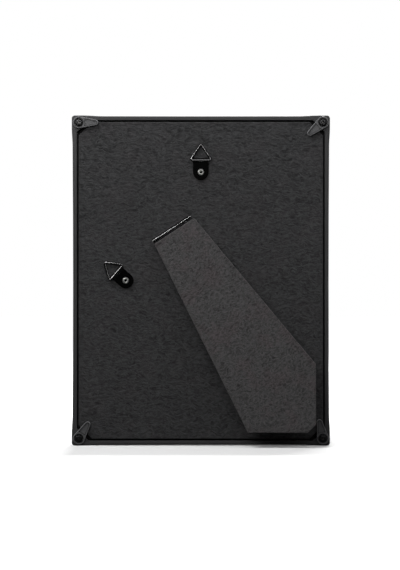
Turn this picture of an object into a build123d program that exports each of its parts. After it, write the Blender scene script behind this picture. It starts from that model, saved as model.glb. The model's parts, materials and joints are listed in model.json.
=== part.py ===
from build123d import *

import os
from math import asin, degrees, radians, sin, tan

# Easel back photo frame for a letter-size sheet, in millimetres.
#
# It is modelled lying on its face: X to the right, Y up the frame and Z out of its back,
# with the origin in the middle of the back plane of the rim. At the end it is stood up,
# so that Z points up and the back faces -Y, with the origin in the middle of the
# bounding box's bottom. Angles are counter-clockwise, as seen from behind.

# Sheet, glass and back panel
sheet_width = 215.9
sheet_height = 279.4
sheet_clearance = 0.8
glass_thickness = 2.0
insert_thickness = 0.3
panel_clearance = 1.6
panel_board_thickness = 3.0
panel_corner_clip = 11.8
panel_sink = 0.3
covering_thickness = 0.35
covering_edge_radius = 0.6
covered_corner_radius = 0.9

# Moulding
side_rail_wall = 4.5
end_rail_wall = 4.25
lip_overlap = 7.2
lip_thickness = 5.75
gusset_leg = 10.6
corner_radius = 2.6
foot_land = 9.5
foot_blend = 19.0
foot_step = 0.7
side_rail_bow = 0.45
end_rail_bow = 0.1
rim_outer_round = 1.2
rim_inner_round = 0.3
front_outer_round = 2.2
front_bevel_run = 5.0
front_bevel_drop = 1.1

# Corner screws
screw_inset = 6.4
screw_radius = 1.3
screw_grip = 7.5
screw_head_radius = 3.1
screw_head_height = 1.7
screw_head_round = 0.95
screw_cross_length = 3.4
screw_cross_width = 0.8
screw_cross_depth = 1.0
pilot_clearance = 0.05
pilot_spare = 0.6

# Turn-buttons
button_head_radius = 5.2
button_tip_radius = 2.5
button_reach = 17.0
button_thickness = 2.2
button_edge_round = 0.45
button_border = 0.95
button_pocket_start = 5.0
button_pocket_depth = 0.8
button_recess_radius = 4.2
button_recess_depth = 1.5
turning_clearance = 0.05

# Strut hinge
hinge_left = 25.65
hinge_rise = 45.25
hinge_tilt = 33.05
barrel_length = 39.1
middle_knuckle_length = 19.5
knuckle_gap = 0.2
knuckle_notch_gap = 0.3
pin_radius = 0.8
pin_clearance = 0.05
pin_overhang = 0.25
pin_end_round = 0.2
fixed_leaf_thickness = 0.7
moving_leaf_thickness = 0.6
leaf_reach = 14.0
leaf_corner_radius = 2.0
roll_angle = 290.0
prong_width = 2.2
prong_height = 1.8
prong_spread = 13.0
prong_near = 6.5
prong_far = 11.0
hinge_rivet_spread = 11.0
hinge_rivet_setback = 9.0
hinge_rivet_radius = 1.2
hinge_rivet_head_radius = 1.9
hinge_rivet_head_height = 0.6
hinge_rivet_head_round = 0.35

# Strut
strut_ajar = 5.5
strut_head_width = 41.5
strut_side_offset = 0.85
strut_head_gap = 3.4
strut_flare = 6.6
strut_side_margin = 13.2
strut_foot_margin = 12.1
strut_corner_clip = 7.2
strut_board_thickness = 2.5
lining_thickness = 0.25
lining_inset = 2.0
lining_gap = 1.0

# Hangers
top_hanger_drop = 49.9
side_hanger_inset = 47.4
strap_width = 13.6
strap_thickness = 0.6
strap_fold_gap = 0.05
strap_bar_distance = 10.4
strap_curl_angle = 240.0
strap_bend_radius = 0.6
ring_wire_radius = 1.1
ring_clearance = 0.05
ring_side_clearance = 0.1
ring_corner_radius = 1.35
ring_apex_radius = 1.4
ring_half_angle = 33.0
ring_split = 0.4
ring_rest_gap = 0.05

# Tubular rivets of the hangers, and the tails of all rivets
hanger_rivet_radius = 1.5
hanger_rivet_bore_radius = 0.9
hanger_rivet_head_radius = 2.95
hanger_rivet_mouth_radius = 1.45
hanger_rivet_head_height = 1.0
rivet_running_clearance = 0.05
rivet_tail_overhang = 0.8
rivet_tail_height = 0.5
rivet_tail_clearance = 0.1

# How far every cutting solid runs past what it cuts, and how near counts as on a line
overrun = 1.0
line_tolerance = 0.01

# Where the crown of the rivet's head passes, as shares of the head's rim width and height
rivet_crown_shares = (0.72, 0.8)

# Side and end of the frame at which each turn-button is
button_corners = {
    "top_left": (-1, 1),
    "top_right": (1, 1),
    "bottom_left": (-1, -1),
    "bottom_right": (1, -1),
}

# The way each turn-button points, and how far its screw is turned
button_angles = {"top_left": 0.0, "top_right": 219.5, "bottom_left": 58.3, "bottom_right": 101.5}
screw_angles = {"top_left": 20.0, "top_right": 5.0, "bottom_left": 50.0, "bottom_right": 70.0}

# Sizes that follow from these
rebate_width = sheet_width + 2 * sheet_clearance
rebate_height = sheet_height + 2 * sheet_clearance
frame_width = rebate_width + 2 * side_rail_wall
frame_height = rebate_height + 2 * end_rail_wall
sight_width = rebate_width - 2 * lip_overlap
sight_height = rebate_height - 2 * lip_overlap
panel_width = rebate_width - 2 * panel_clearance
panel_height = rebate_height - 2 * panel_clearance
panel_thickness = panel_board_thickness + covering_thickness
rebate_depth = panel_sink + panel_thickness + insert_thickness + glass_thickness
moulding_depth = rebate_depth + lip_thickness
panel_back = -panel_sink
panel_inner = panel_back - panel_thickness
fixed_roll_radius = pin_radius + pin_clearance + fixed_leaf_thickness
moving_roll_radius = pin_radius + pin_clearance + moving_leaf_thickness
hinge_height = panel_back + fixed_roll_radius
strut_inner = hinge_height + moving_roll_radius
screw_seat = turning_clearance + button_thickness - button_recess_depth

# Places of the hinge and of the two hangers: place on the back, and the way each one points
hinge_place = Pos(-hinge_left, hinge_rise) * Rot(0, 0, hinge_tilt)
hanger_places = {
    "top": (0.0, frame_height / 2 - top_hanger_drop, 90.0),
    "side": (side_hanger_inset - frame_width / 2, 0.0, 139.5),
}


# Outlines and cuts that several pieces share


def clipped_rectangle(width, height, clip):
    """Rectangle with its four corners cut off at 45 degrees."""
    return chamfer(Rectangle(width, height).vertices(), clip)


def rebate_outline():
    """Pocket for glass, insert and panel, with a gusset across each corner."""
    return clipped_rectangle(rebate_width, rebate_height, gusset_leg)


def covered_board(outline, base, thickness):
    """Board on the height base, and the covering turned over its outer face and edges."""
    outline = fillet(outline.vertices(), covered_corner_radius)
    core = offset(outline, -covering_thickness, kind=Kind.INTERSECTION)
    board = Pos(0, 0, base) * extrude(core, thickness)
    covering = Pos(0, 0, base) * extrude(outline, thickness + covering_thickness)
    covering = fillet(covering.edges().group_by(Axis.Z)[-1], covering_edge_radius)
    return board, covering - board


def rivet_hole(shank_radius):
    """Hole through the panel, with a counterbore on its inner side for the rivet's tail."""
    length = panel_thickness + 2 * overrun
    hole = Pos(0, 0, panel_inner - overrun) * bottom_cylinder(shank_radius, length)
    tail_radius = shank_radius + rivet_tail_overhang + rivet_tail_clearance
    tail = bottom_cylinder(tail_radius, rivet_tail_height + overrun)
    return hole + Pos(0, 0, panel_inner - overrun) * tail


def bottom_cylinder(radius, height):
    """Cylinder that stands on its base."""
    return Cylinder(radius, height, align=(Align.CENTER, Align.CENTER, Align.MIN))


# Moulding, glass and insert


def rail_edge(length, bow):
    """Outer edge of a rail along X: a flat foot at each end, drawn in between them."""
    land_end = length / 2 - foot_land
    blend_end = land_end - foot_blend
    middle = ((land_end + blend_end) / 2, -foot_step / 2)
    land = Line((length / 2, 0), (land_end, 0))
    leave = TangentArc((land_end, 0), middle, tangent=(-1, 0))
    settle = TangentArc(middle, (blend_end, -foot_step), tangent=leave % 1)
    half = Curve() + [land, leave, settle]
    sag = ThreePointArc((blend_end, -foot_step), (0, -foot_step - bow), (-blend_end, -foot_step))
    return half + sag + mirror(half, about=Plane.YZ)


def frame_outline():
    """Outer outline of the moulding, with its four rounded corners."""
    top = Pos(0, frame_height / 2) * rail_edge(frame_width, end_rail_bow)
    right = Pos(frame_width / 2, 0) * Rot(0, 0, -90) * rail_edge(frame_height, side_rail_bow)
    half = top + right
    outline = make_face((half + Rot(0, 0, 180) * half).edges())
    corner_sum = (frame_width + frame_height - foot_land) / 2
    corners = outline.vertices().filter_by(lambda point: abs(point.X) + abs(point.Y) > corner_sum)
    return fillet(corners, corner_radius)


def moulding():
    """One-piece frame: rim, picture lip with a bevel to the sight edge, and corner gussets."""
    body = extrude(frame_outline(), -moulding_depth)
    body = fillet(body.edges().group_by(Axis.Z)[-1], rim_outer_round)
    body = fillet(body.edges().group_by(Axis.Z)[0], front_outer_round)
    body -= extrude(rebate_outline(), -rebate_depth)
    body -= extrude(Rectangle(sight_width, sight_height), -moulding_depth - overrun)
    bevel_width = sight_width + 2 * front_bevel_run
    bevel_height = sight_height + 2 * front_bevel_run
    front = Pos(0, 0, -moulding_depth) * Rectangle(bevel_width, bevel_height)
    throat = Pos(0, 0, front_bevel_drop - moulding_depth) * Rectangle(sight_width, sight_height)
    body -= loft([front, throat])
    rim_edges = body.edges().group_by(Axis.Z)[-1].filter_by(on_rebate)
    body = fillet(rim_edges, rim_inner_round)
    pilot = bottom_cylinder(screw_radius + pilot_clearance, screw_grip + pilot_spare + overrun)
    for side, end in button_corners.values():
        body -= Pos(*screw_place(side, end), -screw_grip - pilot_spare) * pilot
    return body


def on_rebate(edge):
    """Whether an edge of the back plane belongs to the rebate's mouth."""
    middle = edge.center()
    inside_width = abs(middle.X) < rebate_width / 2 + line_tolerance
    return inside_width and abs(middle.Y) < rebate_height / 2 + line_tolerance


def screw_place(side, end):
    """Place on the back of the screw in one corner."""
    return side * (frame_width / 2 - screw_inset), end * (frame_height / 2 - screw_inset)


def glazing_sheet(thickness, base):
    """Sheet that fills the rebate with the sheet's clearance all round."""
    outline = offset(rebate_outline(), -sheet_clearance, kind=Kind.INTERSECTION)
    return Pos(0, 0, base) * extrude(outline, thickness)


# Turn-buttons and their screws


def turn_button():
    """Moulded lever: round head with a recess for the screw, and a hollowed arm along X."""
    tip = Pos(button_reach - button_tip_radius, 0) * Circle(button_tip_radius)
    outline = make_hull(Circle(button_head_radius).edges() + tip.edges())
    body = extrude(outline, button_thickness)
    body = fillet(body.edges().group_by(Axis.Z)[-1], button_edge_round)
    arm = Pos(button_pocket_start, 0) * Rectangle(
        button_reach, 2 * button_head_radius, align=(Align.MIN, Align.CENTER)
    )
    pocket = offset(outline, -button_border, kind=Kind.INTERSECTION) & arm
    body -= Pos(0, 0, button_thickness - button_pocket_depth) * extrude(pocket, button_pocket_depth)
    recess = bottom_cylinder(button_recess_radius, button_recess_depth + overrun)
    body -= Pos(0, 0, button_thickness - button_recess_depth) * recess
    bore = Cylinder(screw_radius + turning_clearance, 2 * (button_thickness + overrun))
    return body - bore


def corner_screw():
    """Pan head screw, with its head's underside just clear of the button's recess."""
    head = bottom_cylinder(screw_head_radius, screw_head_height)
    head = fillet(head.edges().group_by(Axis.Z)[-1], screw_head_round)
    slot = Box(
        screw_cross_length,
        screw_cross_width,
        screw_cross_depth,
        align=(Align.CENTER, Align.CENTER, Align.MAX),
    )
    cross = Pos(0, 0, screw_head_height) * (slot + Rot(0, 0, 90) * slot)
    head_base = screw_seat + turning_clearance
    shank = Pos(0, 0, -screw_grip) * bottom_cylinder(screw_radius, screw_grip + head_base)
    return Pos(0, 0, head_base) * (head - cross) + shank


# Strut hinge, with the pin along X and both leaves towards -Y


def rolled_leaf(thickness):
    """Strip whose edge is rolled round the pin, with its flat below the pin."""
    roll = pin_radius + pin_clearance + thickness / 2
    flat = Line((-leaf_reach, -roll), (0, -roll))
    wrap = CenterArc((0, 0), roll, -90, roll_angle)
    strip = trace(Curve() + [flat, wrap], thickness)
    leaf = extrude(Plane.YZ * strip, barrel_length / 2, both=True)
    far_corners = leaf.edges().filter_by(Axis.Z).sort_by(Axis.Y)[:2]
    return fillet(far_corners, leaf_corner_radius)


def knuckle_window(start, end):
    """Cut that takes the roll away between two places along the pin."""
    reach = fixed_roll_radius + knuckle_notch_gap
    window = Box(
        end - start,
        reach + fixed_roll_radius + overrun,
        2 * (fixed_roll_radius + overrun),
        align=(Align.MIN, Align.MIN, Align.CENTER),
    )
    return Pos(start, -reach, 0) * window


def hinge_leaf_fixed():
    """Leaf riveted to the panel: two end knuckles with a gap between them."""
    leaf = rolled_leaf(fixed_leaf_thickness)
    gap_half = (middle_knuckle_length + knuckle_gap) / 2
    leaf -= knuckle_window(-gap_half, gap_half)
    hole = Cylinder(hinge_rivet_radius, 2 * (fixed_roll_radius + overrun))
    for side in (-1, 1):
        leaf -= Pos(side * hinge_rivet_spread, -hinge_rivet_setback, 0) * hole
    return leaf


def leaf_prongs():
    """Four pointed prongs that stand on the moving leaf's outer face."""
    points = [(-prong_width / 2, 0), (prong_width / 2, 0), (0, prong_height)]
    face = make_face(Polyline(*points, close=True))
    prong = extrude(Plane.XZ * face, moving_leaf_thickness / 2, both=True)
    places = [(side * prong_spread, -back) for side in (-1, 1) for back in (prong_near, prong_far)]
    return [Pos(x, y, moving_roll_radius) * prong for x, y in places]


def hinge_leaf_moving():
    """Leaf pressed into the strut: the middle knuckle, the flat above the pin, and prongs."""
    leaf = mirror(rolled_leaf(moving_leaf_thickness), about=Plane.XY)
    knuckle_half = (middle_knuckle_length - knuckle_gap) / 2
    barrel_end = barrel_length / 2 + overrun
    leaf -= knuckle_window(knuckle_half, barrel_end)
    leaf -= knuckle_window(-barrel_end, -knuckle_half)
    return leaf + leaf_prongs()


def hinge_pin():
    """Pin through all three knuckles, its ends a little proud."""
    pin = Rot(0, 90, 0) * Cylinder(pin_radius, barrel_length + 2 * pin_overhang)
    return fillet(pin.edges().filter_by(GeomType.CIRCLE), pin_end_round)


def hinge_rivets():
    """Two rivets that fix the hinge's leaf to the panel, placed on the back."""
    top = panel_back + fixed_leaf_thickness
    head = bottom_cylinder(hinge_rivet_head_radius, hinge_rivet_head_height)
    head = fillet(head.edges().group_by(Axis.Z)[-1], hinge_rivet_head_round)
    shank = bottom_cylinder(hinge_rivet_radius, top - panel_inner)
    tail = bottom_cylinder(hinge_rivet_radius + rivet_tail_overhang, rivet_tail_height)
    rivet = Pos(0, 0, top) * head + Pos(0, 0, panel_inner) * (shank + tail)
    return [place * rivet for place in hinge_rivet_places()]


def hinge_rivet_places():
    """Places on the back of the two hinge rivets."""
    spread = (-hinge_rivet_spread, hinge_rivet_spread)
    return [hinge_place * Pos(x, -hinge_rivet_setback) for x in spread]


# Strut, drawn folded flat and then swung out to where the photograph shows it


def strut_outline():
    """Flared strut, cut parallel to the frame's bottom and side so that it stands either way."""
    half = strut_head_width / 2
    flare = frame_height * tan(radians(strut_flare))
    far = strut_head_gap + frame_height
    blank = Polygon(
        (strut_side_offset + half, -strut_head_gap),
        (strut_side_offset - half, -strut_head_gap),
        (strut_side_offset - half - flare, -far),
        (strut_side_offset + half + flare, -far),
        align=None,
    )
    width = frame_width - 2 * strut_side_margin
    height = frame_height - 2 * strut_foot_margin
    return (hinge_place * blank) & clipped_rectangle(width, height, strut_corner_clip)


def strut_lining():
    """Lining paper on the strut's inner face, from the hinge's leaf to just inside the edges."""
    paper = offset(strut_outline(), -lining_inset, kind=Kind.INTERSECTION)
    leaf_side = Pos(0, -leaf_reach - lining_gap) * Rectangle(
        frame_width, frame_width, align=(Align.CENTER, Align.MIN)
    )
    paper -= hinge_place * leaf_side
    return Pos(0, 0, strut_inner - lining_thickness) * extrude(paper, lining_thickness)


def strut_pieces():
    """Every piece that swings with the strut."""
    hinge = Pos(0, 0, hinge_height) * hinge_place
    board, covering = covered_board(strut_outline(), strut_inner, strut_board_thickness)
    board -= [hinge * prong for prong in leaf_prongs()]
    folded = {
        "strut_board": board,
        "strut_covering": covering,
        "strut_lining": strut_lining(),
        "hinge_leaf_moving": hinge * hinge_leaf_moving(),
    }
    swing = hinge * Rot(-strut_ajar, 0, 0) * hinge.inverse()
    return {name: swing * piece for name, piece in folded.items()}


# Hangers, with the rivet on Z, the panel's back at zero and the ring towards +X


def strap_heights():
    """Heights above the panel of the strap's lower and upper layer and of the ring's bar."""
    lower = turning_clearance + strap_thickness / 2
    upper = lower + strap_thickness + strap_fold_gap
    bar = lower + strap_roll()
    return lower, upper, bar


def strap_roll():
    """Radius of the curl's centreline round the ring's bar."""
    return ring_wire_radius + ring_clearance + strap_thickness / 2


def hanger_strap():
    """Strip folded round the ring's bar, its two layers held together by the rivet."""
    lower, upper, bar = strap_heights()
    reach = strap_width / 2 + overrun
    bottom = Line((-reach, lower), (strap_bar_distance, lower))
    curl = CenterArc((strap_bar_distance, bar), strap_roll(), -90, strap_curl_angle)
    curl_end = curl @ 1
    slope = curl % 1
    knee = curl_end + slope * ((upper - curl_end.Y) / slope.Y)
    top = FilletPolyline(curl_end, knee, (-reach, upper), radius=strap_bend_radius)
    strip = trace(Curve() + [bottom, curl, top], strap_thickness)
    strap = extrude(Plane.XZ * strip, strap_width / 2, both=True)
    body_length = strap_bar_distance + strap_roll() + strap_thickness
    plan = Circle(strap_width / 2) + Rectangle(
        body_length, strap_width, align=(Align.MIN, Align.CENTER)
    )
    strap &= extrude(plan, 2 * bar)
    return strap - Cylinder(hanger_rivet_radius + rivet_running_clearance, 2 * bar)


def ring_sizes():
    """Half the ring's base and its height, both to the sharp corners of its centreline."""
    straight = strap_width / 2 + ring_side_clearance
    turn = 90 + ring_half_angle
    half_base = straight + ring_corner_radius * tan(radians(turn / 2))
    return half_base, half_base / tan(radians(ring_half_angle))


def ring_lean():
    """Angle by which the ring leans back until its apex rests on the panel."""
    _, _, bar = strap_heights()
    _, height = ring_sizes()
    apex = height + ring_apex_radius - ring_apex_radius / sin(radians(ring_half_angle))
    return degrees(asin((bar - ring_wire_radius - ring_rest_gap) / apex))


def hanger_ring():
    """Triangle of bent wire, its ends meeting inside the strap's curl."""
    half_base, height = ring_sizes()
    path = FilletPolyline(
        (0, ring_split / 2),
        (0, half_base),
        (height, 0),
        (0, -half_base),
        (0, -ring_split / 2),
        radius=[ring_corner_radius, ring_apex_radius, ring_corner_radius],
    )
    ring = Part() + [wire_run(run) for run in path.edges()]
    _, _, bar = strap_heights()
    return Pos(strap_bar_distance, 0, bar) * Rot(0, ring_lean(), 0) * ring


def wire_run(run):
    """One straight or bent run of the ring's wire."""
    return sweep(Plane(origin=run @ 0, z_dir=run % 0) * Circle(ring_wire_radius), path=run)


def hanger_rivet():
    """Tubular rivet: domed head with an open mouth, and a flanged tail inside the panel."""
    _, upper, _ = strap_heights()
    seat = upper + strap_thickness / 2 + rivet_running_clearance
    crown = seat + hanger_rivet_head_height
    rim_share, height_share = rivet_crown_shares
    rim_width = hanger_rivet_head_radius - hanger_rivet_mouth_radius
    over = (
        hanger_rivet_mouth_radius + rim_share * rim_width,
        seat + height_share * hanger_rivet_head_height,
    )
    tail_radius = hanger_rivet_radius + rivet_tail_overhang
    tail_top = rivet_tail_height - panel_thickness
    dome = ThreePointArc((hanger_rivet_mouth_radius, crown), over, (hanger_rivet_head_radius, seat))
    rest = Polyline(
        (hanger_rivet_head_radius, seat),
        (hanger_rivet_radius, seat),
        (hanger_rivet_radius, tail_top),
        (tail_radius, tail_top),
        (tail_radius, -panel_thickness),
        (hanger_rivet_bore_radius, -panel_thickness),
        (hanger_rivet_bore_radius, seat),
        (hanger_rivet_mouth_radius, crown),
    )
    profile = make_face(Curve() + [dome, rest])
    return revolve(Plane.XZ * profile, axis=Axis.Z)


# Panel, with the holes of all its rivets


def panel_pieces():
    """Board and covering of the back panel."""
    outline = clipped_rectangle(panel_width, panel_height, panel_corner_clip)
    board, covering = covered_board(outline, panel_inner, panel_board_thickness)
    holes = [place * rivet_hole(hinge_rivet_radius) for place in hinge_rivet_places()]
    holes += [Pos(x, y) * rivet_hole(hanger_rivet_radius) for x, y, _ in hanger_places.values()]
    return {"panel_board": board - holes, "panel_covering": covering - holes}


def all_pieces():
    """Every node by its name, lying on its face."""
    hinge = Pos(0, 0, hinge_height) * hinge_place
    pieces = {
        "moulding": moulding(),
        "glass": glazing_sheet(glass_thickness, -rebate_depth),
        "insert_sheet": glazing_sheet(insert_thickness, glass_thickness - rebate_depth),
        "hinge_leaf_fixed": hinge * hinge_leaf_fixed(),
        "hinge_pin": hinge * hinge_pin(),
        "hinge_rivets": Compound(hinge_rivets()),
    }
    pieces.update(panel_pieces())
    pieces.update(strut_pieces())
    screws = []
    for name, (side, end) in button_corners.items():
        corner = Pos(*screw_place(side, end), 0)
        lifted = corner * Pos(0, 0, turning_clearance) * Rot(0, 0, button_angles[name])
        pieces["turn_button_" + name] = lifted * turn_button()
        screws.append(corner * Rot(0, 0, screw_angles[name]) * corner_screw())
    pieces["corner_screws"] = Compound(screws)
    rivets = []
    for name, (x, y, pointing) in hanger_places.items():
        place = Pos(x, y, panel_back) * Rot(0, 0, pointing)
        pieces["hanger_strap_" + name] = place * hanger_strap()
        pieces["hanger_ring_" + name] = place * hanger_ring()
        rivets.append(place * hanger_rivet())
    pieces["hanger_rivets"] = Compound(rivets)
    return pieces


# Stand the frame up, write each node and print what the joints and mounts need


def print_place(label, point, direction):
    """One line with a place in metres and a direction, both in the standing frame."""
    metres = [round(value / M, 6) for value in point]
    print(label, "at", metres, "axis", [round(value, 6) for value in direction])


def main():
    pieces = all_pieces()
    boxes = [piece.bounding_box() for piece in pieces.values()]
    back_reach = max(box.max.Z for box in boxes)
    setback = (back_reach - moulding_depth) / 2
    stand = Pos(0, setback, frame_height / 2) * Rot(90, 0, 0)
    os.makedirs("parts", exist_ok=True)
    for name, piece in pieces.items():
        export_step(stand * piece, "parts/" + name + ".step")
    print("frame", frame_width, "x", frame_height, "back plane at y", setback)

    hinge = stand * Pos(0, 0, hinge_height) * hinge_place
    print_place("strut hinge", hinge.position, Plane(hinge).x_dir * -1)
    for name, (side, end) in button_corners.items():
        corner = stand * Pos(*screw_place(side, end), 0)
        print_place("turn button " + name, corner.position, Plane(corner).z_dir)
    _, _, bar = strap_heights()
    for name, (x, y, pointing) in hanger_places.items():
        rivet = stand * Pos(x, y, panel_back) * Rot(0, 0, pointing)
        print_place("hanger swivel " + name, rivet.position, Plane(rivet).z_dir)
        bar_place = rivet * Pos(strap_bar_distance, 0, bar)
        print_place("ring swing " + name, bar_place.position, Plane(bar_place).y_dir * -1)
    print("ring leans back by", ring_lean())


if __name__ == "__main__":
    main()
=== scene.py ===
"""Looks of an easel back photo frame that stands with its back to the camera.

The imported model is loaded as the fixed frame, in metres, with Z up and the frame's back facing
-Y. Each sub-assembly of the frame is a class below that makes the pieces which the model leaves
plain, dresses every piece in its finish and says which body it moves with. The studio comes last.
"""

import json
import logging
import math
from collections.abc import Callable, Iterator
from contextlib import contextmanager
from dataclasses import dataclass
from enum import Enum

import bmesh
import bpy
from mathutils import Matrix, Vector

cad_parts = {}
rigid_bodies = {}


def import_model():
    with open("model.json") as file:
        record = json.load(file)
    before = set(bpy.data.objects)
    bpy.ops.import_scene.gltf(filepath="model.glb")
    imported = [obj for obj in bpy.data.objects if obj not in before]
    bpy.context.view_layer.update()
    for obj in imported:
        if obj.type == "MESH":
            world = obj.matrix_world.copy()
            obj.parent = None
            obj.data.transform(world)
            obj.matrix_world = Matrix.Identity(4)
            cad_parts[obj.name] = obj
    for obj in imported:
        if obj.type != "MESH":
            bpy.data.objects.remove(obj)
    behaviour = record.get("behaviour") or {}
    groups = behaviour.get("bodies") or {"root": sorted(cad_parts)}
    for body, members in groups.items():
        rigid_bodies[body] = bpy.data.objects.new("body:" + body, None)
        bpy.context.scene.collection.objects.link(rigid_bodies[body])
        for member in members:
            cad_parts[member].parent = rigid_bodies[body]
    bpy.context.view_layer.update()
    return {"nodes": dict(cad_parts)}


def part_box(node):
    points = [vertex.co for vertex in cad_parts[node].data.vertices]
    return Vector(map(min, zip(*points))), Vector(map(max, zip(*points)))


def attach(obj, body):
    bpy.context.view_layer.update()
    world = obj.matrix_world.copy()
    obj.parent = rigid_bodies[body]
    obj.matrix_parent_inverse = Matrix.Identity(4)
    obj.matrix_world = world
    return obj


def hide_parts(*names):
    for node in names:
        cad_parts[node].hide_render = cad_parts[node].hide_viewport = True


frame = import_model()

log = logging.getLogger("photo_frame")

MM = 0.001
PHOTO_ROWS = 570
ROW_HEIGHT = 0.8765 * MM
MERGE_DISTANCE = 0.002 * MM
CUT_TOLERANCE = 0.001 * MM
SMOOTH_BELOW = math.radians(35.0)
Triple = tuple[float, float, float]
Colour = Triple


# Shader sockets that do arithmetic, and the tree that they belong to


class Value:
    """Output of a shader node, which takes part in sums as a number does."""

    def __init__(self, shader: "Shader", socket: bpy.types.NodeSocket) -> None:
        """Wraps a socket.

        Args:
            shader: Tree that the socket's node is in.
            socket: The output itself.
        """
        self.shader = shader
        self.socket = socket

    def __add__(self, other: "Operand") -> "Value":
        """Sum of both."""
        return self.shader.math("ADD", self, other)

    __radd__ = __add__

    def __sub__(self, other: "Operand") -> "Value":
        """This less the other."""
        return self.shader.math("SUBTRACT", self, other)

    def __rsub__(self, other: "Operand") -> "Value":
        """The other less this."""
        return self.shader.math("SUBTRACT", other, self)

    def __mul__(self, other: "Operand") -> "Value":
        """Product of both."""
        return self.shader.math("MULTIPLY", self, other)

    __rmul__ = __mul__

    def __pow__(self, power: "Operand") -> "Value":
        """This to a power."""
        return self.shader.math("POWER", self, power)

    def __abs__(self) -> "Value":
        """Size without its sign."""
        return self.shader.math("ABSOLUTE", self)

    def over(self, other: "Operand") -> "Value":
        """Larger of both."""
        return self.shader.math("MAXIMUM", self, other)

    def rise(self, low: float, high: float) -> "Value":
        """Smooth step from 0 to 1.

        Args:
            low: Value at which the step starts.
            high: Value at which it ends, below low for a falling step.

        Returns:
            The step's height.
        """
        settings = {"interpolation_type": "SMOOTHSTEP"}
        node = self.shader.add(
            "ShaderNodeMapRange", settings, {"Value": self, "From Min": low, "From Max": high}
        )
        return Value(self.shader, node.outputs["Result"])


Operand = Value | float
Setting = str | bool | int
Given = Value | float | tuple[float, ...] | bpy.types.NodeSocket


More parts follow.
